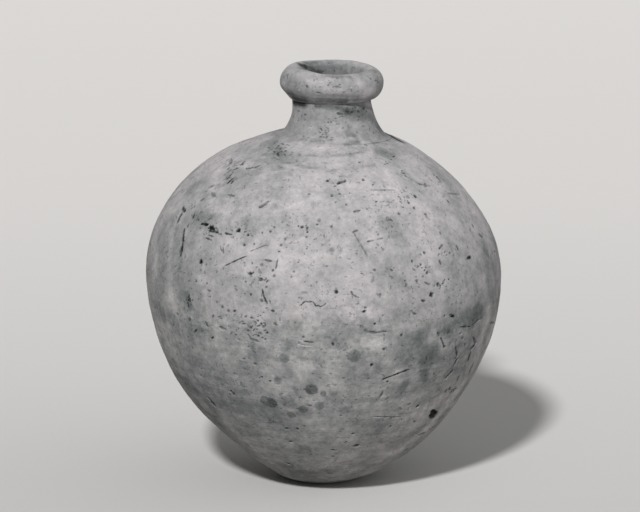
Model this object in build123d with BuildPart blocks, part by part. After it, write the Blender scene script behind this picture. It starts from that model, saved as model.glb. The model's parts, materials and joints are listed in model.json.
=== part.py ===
from build123d import *

import os
from math import asin, cos, sin, sqrt

# A globular oil flask of fired clay, in millimetres, +Z up, with its origin at the centre of its foot.
# Four thrown sections (bowl, shoulder, neck and rolled rim) are bedded on thin layers of slip,
# the liquid clay that joined them before firing.

# Body, a bulging outline turned about the upright axis
BODY_DIAMETER = 100.0
BELLY_HEIGHT = 59.6
FOOT_DIAMETER = 17.0
LOWER_FULLNESS = 1.83
SHOULDER_RISE = 41.9
UPPER_FULLNESS = 1.92
WALL = 4.0
FLOOR_THICKNESS = 6.5

# Bevelled joint between bowl and shoulder, as a drop below the belly to its outer edge
SEAM_DROP = 5.6
SEAM_RISE = 3.0

# Neck, which stands off the body's axis, and the bore that pierces the shoulder
NECK_OFFSET = 2.3
BORE_DIAMETER = 15.5
NECK_WALL = 3.3
NECK_RISE = 7.6
SKIRT_FLARE = 5.2
SKIRT_BURY = 0.6

# Rolled rim, pressed down over a tongue on top of the neck
RIM_HEIGHT = 9.0
RIM_OVERHANG = 3.4
TONGUE_HEIGHT = 2.5

# Beds of slip, wiped back from the surface
SLIP = 0.4
SLIP_SETBACK = 0.8

# Points along each bulging curve
CURVE_STEPS = 10

body_radius = BODY_DIAMETER / 2
cavity_radius = body_radius - WALL
foot_radius = FOOT_DIAMETER / 2
floor_rise = BELLY_HEIGHT - FLOOR_THICKNESS
vault_rise = SHOULDER_RISE - WALL
crown_height = BELLY_HEIGHT + SHOULDER_RISE

bore_radius = BORE_DIAMETER / 2
neck_radius = bore_radius + NECK_WALL
tongue_radius = bore_radius + NECK_WALL / 2
skirt_radius = neck_radius + SKIRT_FLARE

rim_base = crown_height + NECK_RISE
rim_middle = rim_base + RIM_HEIGHT / 2
neck_top = rim_base - SLIP
tongue_top = rim_base + TONGUE_HEIGHT

upright = Plane.XZ
lifted = Plane((0, 0, SLIP), x_dir=(1, 0, 0), z_dir=(0, -1, 0))
neck_upright = Plane((NECK_OFFSET, 0, 0), x_dir=(1, 0, 0), z_dir=(0, -1, 0))
neck_axis = Axis((NECK_OFFSET, 0, 0), (0, 0, 1))


def other_half(length, size, other_size, fullness):
    """The second coordinate of a bulging outline of two half sizes, where the first is length."""
    return other_size * (1 - (length / size) ** fullness) ** (1 / fullness)


# The bowl's outline would close a little below the ground, where the flat foot cuts it off
bowl_rise = BELLY_HEIGHT / other_half(foot_radius, body_radius, 1, LOWER_FULLNESS)


def bulge(radius, rise, fullness, side, start, stop):
    """A bulging curve between two distances from the belly, above it (side 1) or below it (side -1)."""
    first = asin((start / rise) ** (fullness / 2))
    last = asin((stop / rise) ** (fullness / 2))
    points = []
    headings = []
    for step in range(CURVE_STEPS + 1):
        turn = first + (last - first) * step / CURVE_STEPS
        across = cos(turn) ** (2 / fullness)
        along = sin(turn) ** (2 / fullness)
        points.append((radius * across, BELLY_HEIGHT + side * rise * along))
        headings.append((-(along ** (fullness - 1)) / rise, side * across ** (fullness - 1) / radius))
    return Spline(*points, tangents=[headings[0], headings[-1]])


def dome_outline():
    """The shoulder's outer curve, closed along the axis and the belly's level."""
    shoulder = bulge(body_radius, SHOULDER_RISE, UPPER_FULLNESS, 1, 0, SHOULDER_RISE)
    Polyline(shoulder @ 1, (0, BELLY_HEIGHT), shoulder @ 0)


# Bowl: foot, floor and lower wall, with a bevelled edge that stands higher inside
inner_seam_drop = SEAM_DROP - SEAM_RISE

with BuildPart() as lower_body:
    with BuildSketch(upright):
        with BuildLine():
            flank = bulge(body_radius, bowl_rise, LOWER_FULLNESS, -1, SEAM_DROP, BELLY_HEIGHT)
            inside = bulge(cavity_radius, floor_rise, LOWER_FULLNESS, -1, inner_seam_drop, floor_rise)
            Polyline(flank @ 1, (0, 0), inside @ 1)
            Line(flank @ 0, inside @ 0)
        make_face()
    revolve(axis=Axis.Z)
bowl_edge = (flank @ 0, inside @ 0)

# Shoulder: belly and vault, closed over and then pierced for the bore
with BuildPart() as upper_body:
    with BuildSketch(upright):
        with BuildLine():
            skin = bulge(body_radius, bowl_rise, LOWER_FULLNESS, -1, 0, SEAM_DROP - SLIP)
            shoulder = bulge(body_radius, SHOULDER_RISE, UPPER_FULLNESS, 1, 0, SHOULDER_RISE)
            lining = bulge(cavity_radius, floor_rise, LOWER_FULLNESS, -1, 0, inner_seam_drop - SLIP)
            vault = bulge(cavity_radius, vault_rise, UPPER_FULLNESS, 1, 0, vault_rise)
            Line(shoulder @ 1, vault @ 1)
            Line(skin @ 1, lining @ 1)
        make_face()
    revolve(axis=Axis.Z)
    with Locations((NECK_OFFSET, 0, crown_height)):
        Hole(bore_radius)
shoulder_edge = (skin @ 1, lining @ 1)


def bed(edge):
    """The two ends of a joint's edge, each drawn in by the slip's setback."""
    outer, inner = edge
    setback = (inner - outer).normalized() * SLIP_SETBACK
    return outer + setback, inner - setback


# Bed of slip between the two bevels
with BuildPart() as body_seam_slip:
    with BuildSketch(upright):
        with BuildLine():
            bowl_outer, bowl_inner = bed(bowl_edge)
            shoulder_outer, shoulder_inner = bed(shoulder_edge)
            Polyline(bowl_outer, bowl_inner, shoulder_inner, shoulder_outer, close=True)
        make_face()
    revolve(axis=Axis.Z)

# Neck: a flaring tube whose foot is hollowed to sit on the shoulder, with a tongue on top
far_side = NECK_OFFSET + skirt_radius
skirt_height = BELLY_HEIGHT + other_half(far_side, body_radius, SHOULDER_RISE, UPPER_FULLNESS) - SKIRT_BURY

with BuildPart() as neck:
    with BuildSketch(neck_upright):
        with BuildLine():
            Polyline(
                (skirt_radius, skirt_height),
                (bore_radius, skirt_height),
                (bore_radius, tongue_top),
                (tongue_radius, tongue_top),
                (tongue_radius, neck_top),
                (neck_radius, neck_top),
            )
            TangentArc((neck_radius, neck_top), (skirt_radius, skirt_height), tangent=(0, -1))
        make_face()
    revolve(axis=neck_axis)
    with BuildSketch(lifted):
        with BuildLine():
            dome_outline()
        make_face()
    revolve(axis=Axis.Z, mode=Mode.SUBTRACT)

# Bed of slip under the neck, as wide as the flare is at the crown's level, less the setback
flare_height = neck_top - skirt_height
flare_radius = (flare_height**2 + SKIRT_FLARE**2) / (2 * SKIRT_FLARE)
crown_flare = flare_radius - sqrt(flare_radius**2 - (neck_top - crown_height) ** 2)
neck_bed_radius = neck_radius + crown_flare - SLIP_SETBACK

with BuildPart() as neck_seam_slip:
    with BuildSketch(neck_upright):
        with BuildLine():
            Polyline(
                (bore_radius + SLIP_SETBACK, skirt_height),
                (neck_bed_radius, skirt_height),
                (neck_bed_radius, neck_top),
                (bore_radius + SLIP_SETBACK, neck_top),
                close=True,
            )
        make_face()
    revolve(axis=neck_axis)
    with BuildSketch(upright):
        with BuildLine():
            dome_outline()
        make_face()
    revolve(axis=Axis.Z, mode=Mode.SUBTRACT)
    with BuildSketch(lifted):
        with BuildLine():
            dome_outline()
        make_face()
    revolve(axis=Axis.Z, mode=Mode.INTERSECT)

# Rim: a thick roll round the mouth, straight inside its lower half, that sits down over the tongue
roll_centre = (neck_radius, rim_middle)
socket_radius = tongue_radius + SLIP
socket_top = tongue_top + SLIP

with BuildPart() as rim:
    with BuildSketch(neck_upright):
        with BuildLine():
            roll = EllipticalCenterArc(roll_centre, RIM_OVERHANG, RIM_HEIGHT / 2, -90, arc_size=180)
            lip = EllipticalCenterArc(roll_centre, NECK_WALL, RIM_HEIGHT / 2, 90, arc_size=90)
            Polyline(
                lip @ 1,
                (bore_radius, socket_top),
                (socket_radius, socket_top),
                (socket_radius, rim_base),
                roll @ 0,
            )
        make_face()
    revolve(axis=neck_axis)

# Bed of slip under the rim and round the tongue
with BuildPart() as rim_seam_slip:
    with BuildSketch(neck_upright):
        with BuildLine():
            Polyline(
                (neck_radius - SLIP_SETBACK, neck_top),
                (tongue_radius, neck_top),
                (tongue_radius, tongue_top),
                (bore_radius + SLIP_SETBACK, tongue_top),
                (bore_radius + SLIP_SETBACK, socket_top),
                (socket_radius, socket_top),
                (socket_radius, rim_base),
                (neck_radius - SLIP_SETBACK, rim_base),
                close=True,
            )
        make_face()
    revolve(axis=neck_axis)

sections = {
    "lower_body": lower_body,
    "upper_body": upper_body,
    "body_seam_slip": body_seam_slip,
    "neck": neck,
    "neck_seam_slip": neck_seam_slip,
    "rim": rim,
    "rim_seam_slip": rim_seam_slip,
}

os.makedirs("parts", exist_ok=True)
for name, section in sections.items():
    section.part.label = name
    export_step(section.part, f"parts/{name}.step")
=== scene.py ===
import json
import math
from collections import namedtuple

import bpy
import numpy as np
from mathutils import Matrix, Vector, noise
from mathutils.bvhtree import BVHTree


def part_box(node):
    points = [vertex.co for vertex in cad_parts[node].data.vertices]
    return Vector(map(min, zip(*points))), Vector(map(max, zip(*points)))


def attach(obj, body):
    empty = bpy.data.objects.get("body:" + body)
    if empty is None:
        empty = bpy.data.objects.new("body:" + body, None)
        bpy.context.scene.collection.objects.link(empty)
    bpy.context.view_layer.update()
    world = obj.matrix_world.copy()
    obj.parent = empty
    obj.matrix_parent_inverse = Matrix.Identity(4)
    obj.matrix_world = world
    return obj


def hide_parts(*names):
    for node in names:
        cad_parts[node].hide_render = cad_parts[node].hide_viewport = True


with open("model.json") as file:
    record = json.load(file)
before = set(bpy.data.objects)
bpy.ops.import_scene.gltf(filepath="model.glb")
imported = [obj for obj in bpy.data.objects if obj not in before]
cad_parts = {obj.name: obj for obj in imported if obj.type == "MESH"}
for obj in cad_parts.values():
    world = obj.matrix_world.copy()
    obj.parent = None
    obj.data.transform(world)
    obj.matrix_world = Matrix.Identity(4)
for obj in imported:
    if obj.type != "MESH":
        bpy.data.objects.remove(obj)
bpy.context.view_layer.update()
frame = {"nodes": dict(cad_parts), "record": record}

# Camera
# A long lens a little over a metre away, looking slightly down on the flask, as the photograph was taken.
# It comes first because marks on the clay are placed along its lines of sight, by the photograph's pixels.
picture_width = 640
picture_height = 512
lens = 219
sensor_width = 36
eye_distance = 1.1
eye_elevation = math.radians(11.5)
body_middle = Vector((0, 0, 0.058))
aimed_at = Vector((-0.00093, 0.00118, 0.0638))

eye = body_middle + eye_distance * Vector((0, -math.cos(eye_elevation), math.sin(eye_elevation)))
eye_turn = (aimed_at - eye).to_track_quat("-Z", "Y")
bpy.ops.object.select_all(action="DESELECT")
bpy.ops.object.camera_add(location=eye, rotation=eye_turn.to_euler())
camera = bpy.context.object
camera.name = "camera"
camera.data.lens = lens
camera.data.sensor_width = sensor_width
bpy.context.scene.camera = camera


def line_of_sight(pixel):
    """The way from the camera through a pixel of the photograph."""
    pixel_size = sensor_width / lens / picture_width
    across = (pixel[0] - picture_width / 2) * pixel_size
    up = (picture_height / 2 - pixel[1]) * pixel_size
    return eye_turn @ Vector((across, up, -1))


cad_scene = bpy.context.evaluated_depsgraph_get()
cad_faces = [BVHTree.FromObject(part, cad_scene) for part in frame["nodes"].values()]


def on_clay(pixel):
    """Where the line of sight through a pixel first meets the clay, if at all, and the way it faces there."""
    hits = [faces.ray_cast(eye, line_of_sight(pixel)) for faces in cad_faces]
    met = [hit for hit in hits if hit[0]]
    if not met:
        return None
    place, facing, _, _ = min(met, key=lambda hit: hit[3])
    return np.array(place), np.array(facing)


# Bowl
# The lower half of the flask, thrown on the wheel in coarse clay and shaved down, once leather hard,
# to a small flat foot. Its upper edge is bevelled to take the shoulder.
body_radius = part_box("upper_body")[1].x
slip_thickness = 0.0004
seam_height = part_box("upper_body")[0].z - slip_thickness / 2
inner_seam_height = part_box("lower_body")[1].z
belly_height = 0.0596
foot_radius = 0.0085
lower_fullness = 1.83
shoulder_rise = 0.0419
upper_fullness = 1.92
wall = 0.004
floor_thickness = 0.0065
seam_lip = 0.0006
wheel_steps = 300
curve_points = 500
skin_step = 0.0008
lining_step = 0.0030
merging_distance = 0.000001
above, below = 1, -1


def bulge_share(share, fullness):
    """The share out that a bulging curve has come at a share of its rise, or of its rise at a share out."""
    return (1 - share**fullness) ** (1 / fullness)


bowl_rise = belly_height / bulge_share(foot_radius / body_radius, lower_fullness)
floor_rise = belly_height - floor_thickness
cavity_radius = body_radius - wall


def bulge(side, radius, rise, fullness, start, stop):
    """A bulging curve above or below the belly, between two distances from it, as lengths out and heights."""
    first = math.asin((start / rise) ** (fullness / 2))
    last = math.asin((stop / rise) ** (fullness / 2))
    turn = np.linspace(first, last, curve_points)
    out = radius * np.cos(turn) ** (2 / fullness)
    away = rise * np.sin(turn) ** (2 / fullness)
    return np.column_stack((out, belly_height + side * away))


def evenly(curve, step):
    """The same curve, with its points about a step apart."""
    lengths = np.hypot(*np.diff(curve, axis=0).T)
    travelled = np.concatenate(([0], np.cumsum(lengths)))
    count = max(2, round(travelled[-1] / step) + 1)
    stops = np.linspace(0, travelled[-1], count)
    return np.column_stack([np.interp(stops, travelled, side) for side in curve.T])


def throw(name, steps, *curves, axis_x=0.0):
    """Draws curves end to end beside the wheel's axis, point by point, and turns them into a closed wall."""
    outline = np.vstack([curves[0]] + [curve[1:] for curve in curves[1:]])
    bpy.ops.object.select_all(action="DESELECT")
    bpy.ops.mesh.primitive_plane_add(size=skin_step, location=(axis_x, 0, 0))
    piece = bpy.context.object
    piece.name = name
    bpy.ops.object.mode_set(mode="EDIT")
    bpy.ops.mesh.select_mode(type="VERT")
    bpy.ops.mesh.select_all(action="SELECT")
    bpy.ops.mesh.merge(type="CENTER")
    bpy.ops.transform.translate(value=(outline[0][0], 0, outline[0][1]))
    for step in np.diff(outline, axis=0):
        bpy.ops.mesh.extrude_vertices_move(TRANSFORM_OT_translate={"value": (step[0], 0, step[1])})
    bpy.ops.object.mode_set(mode="OBJECT")
    wheel = piece.modifiers.new("wheel", "SCREW")
    wheel.axis = "Z"
    wheel.angle = 2 * math.pi
    wheel.steps = steps
    wheel.render_steps = steps
    wheel.use_merge_vertices = True
    wheel.merge_threshold = merging_distance
    bpy.ops.object.modifier_apply(modifier="wheel")
    bpy.ops.object.transform_apply(location=True, rotation=False, scale=False)
    bpy.ops.object.mode_set(mode="EDIT")
    bpy.ops.mesh.select_all(action="SELECT")
    bpy.ops.mesh.remove_doubles(threshold=merging_distance)
    bpy.ops.mesh.normals_make_consistent(inside=False)
    bpy.ops.mesh.select_all(action="DESELECT")
    bpy.ops.object.mode_set(mode="OBJECT")
    return piece


def rows_of(parts, kind):
    """One kind of vector of a mesh's points or faces, a row for each."""
    rows = np.empty(len(parts) * 3, np.float32)
    parts.foreach_get(kind, rows)
    return rows.reshape(-1, 3).astype(float)


def points_of(piece):
    return rows_of(piece.data.vertices, "co")


def facings_of(piece):
    return rows_of(piece.data.vertices, "normal")


def move_points(piece, points):
    piece.data.vertices.foreach_set("co", points.astype(np.float32).ravel())
    piece.data.update()


def out_from(axis_x, points):
    """How far points are from an upright axis."""
    return np.hypot(points[:, 0] - axis_x, points[:, 1])


def ease(share):
    """A share held between 0 and 1, with soft ends."""
    held = np.clip(share, 0, 1)
    return held * held * (3 - 2 * held)


Lumps = namedtuple("Lumps", "strength across upright seed")


def unevenness(points, *layers):
    """Layers of smooth lumps, each as strong, as wide and as high as it says."""
    total = np.zeros(len(points))
    for layer in layers:
        places = points / (layer.across, layer.across, layer.upright) + layer.seed
        total += layer.strength * np.array([noise.noise(place) for place in places.tolist()])
    return total


outer_face = 0.93
least_radius = 1e-9


def body_face(points):
    """Whether each point is on the body's outer face, and the way that this face looks there."""
    out = np.maximum(out_from(0, points), least_radius)
    away = points[:, 2] - belly_height
    rise = np.where(away > 0, shoulder_rise, bowl_rise)
    fullness = np.where(away > 0, upper_fullness, lower_fullness)
    round_share = out / body_radius
    rise_share = np.abs(away) / rise
    outside = round_share**fullness + rise_share**fullness > outer_face
    outward = round_share ** (fullness - 1) / body_radius
    upward = np.sign(away) * rise_share ** (fullness - 1) / rise
    facing = np.column_stack((outward * points[:, 0] / out, outward * points[:, 1] / out, upward))
    return outside, facing / np.linalg.norm(facing, axis=1)[:, None]


Dent = namedtuple("Dent", "turn height depth spread turn_spread")
left_flat = Dent(turn=math.pi, height=0.012, depth=0.0017, spread=0.008, turn_spread=0.7)
right_bulge = Dent(turn=0.0, height=0.044, depth=-0.0006, spread=0.010, turn_spread=0.7)
hand_lumps = (
    Lumps(strength=0.00020, across=0.024, upright=0.020, seed=3.1),
    Lumps(strength=0.00009, across=0.009, upright=0.007, seed=7.7),
    Lumps(strength=0.00004, across=0.003, upright=0.003, seed=9.2),
    Lumps(strength=0.00005, across=0.030, upright=0.0013, seed=12.4),
)
shaving_marks = Lumps(strength=0.00008, across=0.016, upright=0.0024, seed=21.6)
shaving_fade = 0.006
foot_fade = 0.002
neck_clearance = 0.018
clearance_fade = 0.006
lean = 0.0009
lean_height = 0.085
lean_spread = 0.010
lean_start = 0.020
lean_fade = 0.012
crown_sag = 0.0006
crown_sag_place = (-0.0145, 0.0120)
crown_sag_spread = 0.0055


def turned_from(points, turn):
    """How far points are turned round the upright axis from a given turn, at most half way round."""
    turned = np.arctan2(points[:, 1], points[:, 0]) - turn
    return np.arctan2(np.sin(turned), np.cos(turned))


def dented(points, dent):
    """How deep a dent goes at each point: full at its height and turn, and fading off round them."""
    turned = turned_from(points, dent.turn)
    off = ((points[:, 2] - dent.height) / dent.spread) ** 2 + (turned / dent.turn_spread) ** 2
    return dent.depth * np.exp(-off / 2)


def work_by_hand(piece):
    """Makes a turned wall uneven: a lean, a flat and a full side from handling, lumps and wheel ridges."""
    points = points_of(piece)
    outside, facing = body_face(points)
    x, y, z = points.T
    out = out_from(0, points)
    shaved = ease((belly_height - z) / shaving_fade)
    depth = unevenness(points, *hand_lumps) + shaved * unevenness(points, shaving_marks)
    depth -= dented(points, left_flat) + dented(points, right_bulge)
    clear = ease((out - neck_clearance) / clearance_fade + 1) * ease(z / foot_fade)
    moved = points + facing * (depth * outside * clear)[:, None]
    leaning = np.exp(-(((z - lean_height) / lean_spread) ** 2) / 2) * ease((out - lean_start) / lean_fade)
    moved[:, 0] -= lean * leaning
    off_sag = np.hypot(x - crown_sag_place[0], y - crown_sag_place[1]) / crown_sag_spread
    moved[:, 2] -= crown_sag * np.exp(-(off_sag**2) / 2) * (z > belly_height)
    move_points(piece, moved)


seam_drop = belly_height - seam_height
inner_seam_drop = belly_height - inner_seam_height
bowl_flank = bulge(below, body_radius, bowl_rise, lower_fullness, seam_drop, belly_height)
bowl_lining = bulge(below, cavity_radius, floor_rise, lower_fullness, inner_seam_drop, floor_rise)
bowl_foot = np.array([(0, 0), bowl_flank[-1]])
bowl_bevel = np.array([bowl_flank[0], bowl_flank[0] + (-seam_lip, 0), bowl_lining[0]])
bowl = throw(
    "bowl",
    wheel_steps,
    evenly(bowl_foot, lining_step),
    evenly(bowl_flank[::-1], skin_step),
    bowl_bevel,
    evenly(bowl_lining, lining_step),
)
work_by_hand(bowl)


def add_node(tree, kind, sockets=None, **settings):
    """Adds a shader node with its settings, and gives its sockets a value or another node's output."""
    made = tree.nodes.new("ShaderNode" + kind)
    for name, value in settings.items():
        setattr(made, name, value)
    for socket, given in (sockets or {}).items():
        if isinstance(given, bpy.types.NodeSocket):
            tree.links.new(given, made.inputs[socket])
        else:
            made.inputs[socket].default_value = given
    return made


def add_maths(tree, operation, *values):
    """Adds a sum or another operation on values."""
    return add_node(tree, "Math", dict(enumerate(values)), operation=operation).outputs[0]


def add_noise(tree, place, lump, detail, roughness):
    """Cloudy noise with lumps of a given size in metres."""
    sockets = {"Vector": place, "Scale": 1 / lump, "Detail": detail, "Roughness": roughness}
    return add_node(tree, "TexNoise", sockets).outputs["Fac"]


def add_share(tree, tone, cover, strength):
    """A tone that a cover from 0 to 1 raises, or lowers where the strength is negative."""
    return add_maths(tree, "MULTIPLY_ADD", cover, strength, tone)


def vary(tree, tone, pattern, strength):
    """A tone that a pattern from 0 to 1 raises and lowers about its middle."""
    return add_share(tree, tone, add_maths(tree, "SUBTRACT", pattern, 0.5), strength)


def add_steps(tree, value, span, new_span, interpolation="SMOOTHSTEP"):
    """A value moved from one span to another, with soft ends unless it is linear."""
    sockets = {"Value": value, "From Min": span[0], "From Max": span[1]}
    sockets |= {"To Min": new_span[0], "To Max": new_span[1]}
    return add_node(tree, "MapRange", sockets, interpolation_type=interpolation).outputs[0]


def add_colours(tree, tone, *stops):
    """The colours along a tone, each stop a position from 0 to 1 with its red, green and blue."""
    colours = add_node(tree, "ValToRGB", {"Fac": tone})
    ramp = colours.color_ramp.elements
    for end, (_, colour) in zip(ramp, (stops[0], stops[-1])):
        end.color = (*colour, 1)
    for position, colour in stops[1:-1]:
        ramp.new(position).color = (*colour, 1)
    return colours.outputs["Color"]


def start_material(name):
    """A new material, the tree of its nodes, and places on the piece that wears it."""
    material = bpy.data.materials.new(name)
    material.use_nodes = True
    tree = material.node_tree
    tree.nodes.clear()
    return material, tree, add_node(tree, "TexCoord").outputs["Object"]


def end_material(tree, colour, roughness, shine, relief=None, bump_strength=0, bump_depth=0):
    """Gives a material its surface, bumpy where it has a relief."""
    sockets = {"Base Color": colour, "Roughness": roughness, "Specular IOR Level": shine}
    if relief is not None:
        bumps = {"Height": relief, "Strength": bump_strength, "Distance": bump_depth}
        sockets["Normal"] = add_node(tree, "Bump", bumps).outputs["Normal"]
    skin = add_node(tree, "BsdfPrincipled", sockets)
    add_node(tree, "OutputMaterial", {"Surface": skin.outputs["BSDF"]})


def mix_fired_clay():
    """Unglazed clay, fired grey: cloudy, mottled, streaked where it was shaved, with dark flecks of grit."""
    clay, tree, place = start_material("fired clay")
    height = add_node(tree, "SeparateXYZ", {0: place}).outputs["Z"]
    flattened = add_node(tree, "Mapping", {"Vector": place, "Scale": (1, 1, 12)}).outputs[0]
    clouds = add_noise(tree, place, lump=0.030, detail=2, roughness=0.5)
    mottle = add_noise(tree, place, lump=0.011, detail=7, roughness=0.82)
    grain = add_noise(tree, place, lump=0.0015, detail=3, roughness=0.7)
    blotches = add_noise(tree, place, lump=0.0050, detail=3, roughness=0.55)
    streaks = add_noise(tree, flattened, lump=0.016, detail=5, roughness=0.65)
    crowding = add_noise(tree, place, lump=0.009, detail=2, roughness=0.5)
    grit = add_noise(tree, place, lump=0.0010, detail=1, roughness=0.5)

    fleck_edge = add_steps(tree, crowding, (0.35, 0.70), (0.30, 0.39))
    fleck = add_steps(tree, add_maths(tree, "SUBTRACT", fleck_edge, grit), (0, 0.07), (0, 1))
    blotch = add_steps(tree, blotches, (0.54, 0.70), (0, 1))
    shaved = add_steps(tree, vary(tree, height, mottle, strength=0.010), (0.052, 0.057), (1, 0))
    shaved_streaks = add_maths(tree, "MULTIPLY", add_maths(tree, "ADD", streaks, -0.5), shaved)
    # The marks' attributes: grime with painted shade, bloom with painted light, and stains with painted shade
    grime_and_shade, bloom_and_light, stain_and_shade = (
        add_node(tree, "Attribute", attribute_name=name).outputs["Fac"]
        for name in ("grime_and_shade", "bloom_and_light", "stain_and_shade")
    )

    plain_tone = 0.68
    tone = vary(tree, plain_tone, clouds, strength=0.16)
    tone = vary(tree, tone, mottle, strength=add_share(tree, 0.56, shaved, strength=0.26))
    tone = vary(tree, tone, grain, strength=0.18)
    for cover, strength in (
        (blotch, -0.06),
        (shaved, -0.055),
        (shaved_streaks, 0.16),
        (fleck, -0.11),
        (stain_and_shade, -0.40),
        (grime_and_shade, -0.50),
        (bloom_and_light, 0.14),
    ):
        tone = add_share(tree, tone, cover, strength)
    grey = add_colours(
        tree,
        tone,
        (0.00, (0.004, 0.004, 0.004)),
        (0.25, (0.046, 0.047, 0.048)),
        (0.50, (0.211, 0.214, 0.216)),
        (0.62, (0.353, 0.346, 0.347)),
        (0.76, (0.570, 0.536, 0.543)),
        (1.00, (1.000, 0.960, 0.960)),
    )
    green = (0.90, 0.985, 0.945, 1)
    greenness = add_share(tree, add_steps(tree, stain_and_shade, (0.02, 0.30), (0, 0.2)), shaved, strength=0.3)
    tinting = {"Fac": greenness, "Color1": grey, "Color2": green}
    tinted = add_node(tree, "MixRGB", tinting, blend_type="MULTIPLY").outputs["Color"]

    relief = vary(tree, 0.5, grain, strength=0.5)
    relief = vary(tree, relief, mottle, strength=0.9)
    relief = add_share(tree, relief, shaved_streaks, strength=0.5)
    relief = add_share(tree, relief, fleck, strength=-0.4)
    bumps = {"relief": relief, "bump_strength": 0.6, "bump_depth": 0.0003}
    end_material(tree, tinted, roughness=0.92, shine=0.25, **bumps)
    return clay


fired_clay = mix_fired_clay()
bowl.data.materials.append(fired_clay)
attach(bowl, "root")
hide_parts("lower_body")

# Shoulder
# The upper half, thrown as a dome and closed over, then luted to the bowl just below the belly and
# pierced for the neck's bore, a little to one side of the axis.
mouth_bore = next(mount for mount in frame["record"]["mounts"] if mount["name"] == "mouth_bore")
bore_radius = mouth_bore["dims"]["r_mm"] / 1000
neck_axis_x = mouth_bore["pos_m"][0]
vault_rise = shoulder_rise - wall
hole_pull = 0.006
ring_radii = (0.0225, 0.0274, 0.0335)
ring_depth = 0.00012
ring_width = 0.0007
ring_evenness = 0.6
ring_wander = Lumps(strength=0.0012, across=0.030, upright=0.030, seed=6.6)
ring_fading = Lumps(strength=1.0, across=0.020, upright=0.020, seed=2.7)
lowest_ring_share = 0.2

hole_rise = shoulder_rise * bulge_share(bore_radius / body_radius, upper_fullness)
vault_hole_rise = vault_rise * bulge_share(bore_radius / cavity_radius, upper_fullness)
lining_drop = inner_seam_drop - slip_thickness
shoulder_skirt = bulge(below, body_radius, bowl_rise, lower_fullness, 0, seam_drop)
shoulder_dome = bulge(above, body_radius, shoulder_rise, upper_fullness, 0, hole_rise)
shoulder_vault = bulge(above, cavity_radius, vault_rise, upper_fullness, 0, vault_hole_rise)
shoulder_lining = bulge(below, cavity_radius, floor_rise, lower_fullness, 0, lining_drop)
shoulder_hole = np.array([shoulder_dome[-1], shoulder_vault[-1]])
shoulder_bevel = np.array(
    [shoulder_lining[-1], shoulder_skirt[-1] + (-seam_lip, slip_thickness), shoulder_skirt[-1]]
)
shoulder = throw(
    "shoulder",
    wheel_steps,
    evenly(shoulder_skirt[::-1], skin_step),
    evenly(shoulder_dome, skin_step),
    shoulder_hole,
    evenly(shoulder_vault[::-1], lining_step),
    evenly(shoulder_lining, lining_step),
    shoulder_bevel,
)
shoulder_points = points_of(shoulder)
shoulder_points[:, 0] += neck_axis_x * ease(1 - (out_from(0, shoulder_points) - bore_radius) / hole_pull)
from_neck = out_from(neck_axis_x, shoulder_points) + unevenness(shoulder_points, ring_wander)
on_top = shoulder_points[:, 2] > belly_height + vault_rise * lowest_ring_share
ring_strength = ring_depth * (ring_evenness + unevenness(shoulder_points, ring_fading))
for ring_radius in ring_radii:
    groove = np.exp(-(((from_neck - ring_radius) / ring_width) ** 2))
    shoulder_points[:, 2] -= ring_strength * groove * on_top
move_points(shoulder, shoulder_points)
work_by_hand(shoulder)
shoulder.data.materials.append(fired_clay)
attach(shoulder, "root")
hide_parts("upper_body")

# Marks on bowl and shoulder
# Pits and slots left by burnt chaff, scratches and cracks, soft stains from burial, and smudges, some of
# which are painted shadow, shade and light. The ones that the photograph shows are placed by its pixels,
# and others like them cover the sides and the back.
Stroke = namedtuple("Stroke", "start end facing half_width depth dark edge")
pixel_on_clay = 0.00027
longest_stroke = 12
chance = np.random.default_rng(5)


def strokes_seen(pixels, half_width, depth_share, dark, edge):
    """A mark drawn through pixels of the photograph: its half width in pixels, its depth a share of that."""
    stops = [np.array(pixels[0])]
    for first, last in zip(pixels, pixels[1:]):
        count = math.ceil(math.dist(first, last) / longest_stroke)
        stops += [first + np.subtract(last, first) * (step + 1) / count for step in range(count)]
    places = [place for place in map(on_clay, stops) if place]
    ends = places[1:] or places
    width = half_width * pixel_on_clay
    return [
        Stroke(start, end, facing, width, width * depth_share, dark, edge)
        for (start, facing), (end, _) in zip(places, ends)
    ]


def marks_seen(marks, edge, depth_share=0):
    """The strokes of a table of marks."""
    strokes = []
    for half_width, dark, *pixels in marks:
        strokes += strokes_seen(pixels, half_width, depth_share, dark, edge)
    return strokes


pointedness = 0.6
least_squared = 1e-12
widest_reach = 1.2
reach_margin = 0.001
farthest_off_face = 0.0025


def distances(points, stroke):
    """How far points lie from a stroke along the clay's face, and which of them are near enough to count."""
    length = stroke.end - stroke.start
    reach = np.linalg.norm(length) / 2 + stroke.half_width * (widest_reach + stroke.edge) + reach_margin
    near = np.flatnonzero((np.abs(points - (stroke.start + stroke.end) / 2) < reach).all(axis=1))
    lift = (points[near] - stroke.start) @ stroke.facing
    near = near[np.abs(lift) < farthest_off_face]
    offset = points[near] - stroke.start
    offset -= np.outer(offset @ stroke.facing, stroke.facing)
    length = length - (length @ stroke.facing) * stroke.facing
    squared = length @ length
    share = np.clip(offset @ length / max(squared, least_squared), 0, 1)
    pointed = pointedness * (stroke.depth > 0) * (squared > least_squared) * (2 * share - 1) ** 4
    return near, np.linalg.norm(offset - np.outer(share, length), axis=1) * (1 + pointed)


def take_up(piece):
    """Makes a piece the only selected one and the active one."""
    bpy.ops.object.select_all(action="DESELECT")
    bpy.context.view_layer.objects.active = piece
    piece.select_set(True)


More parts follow.
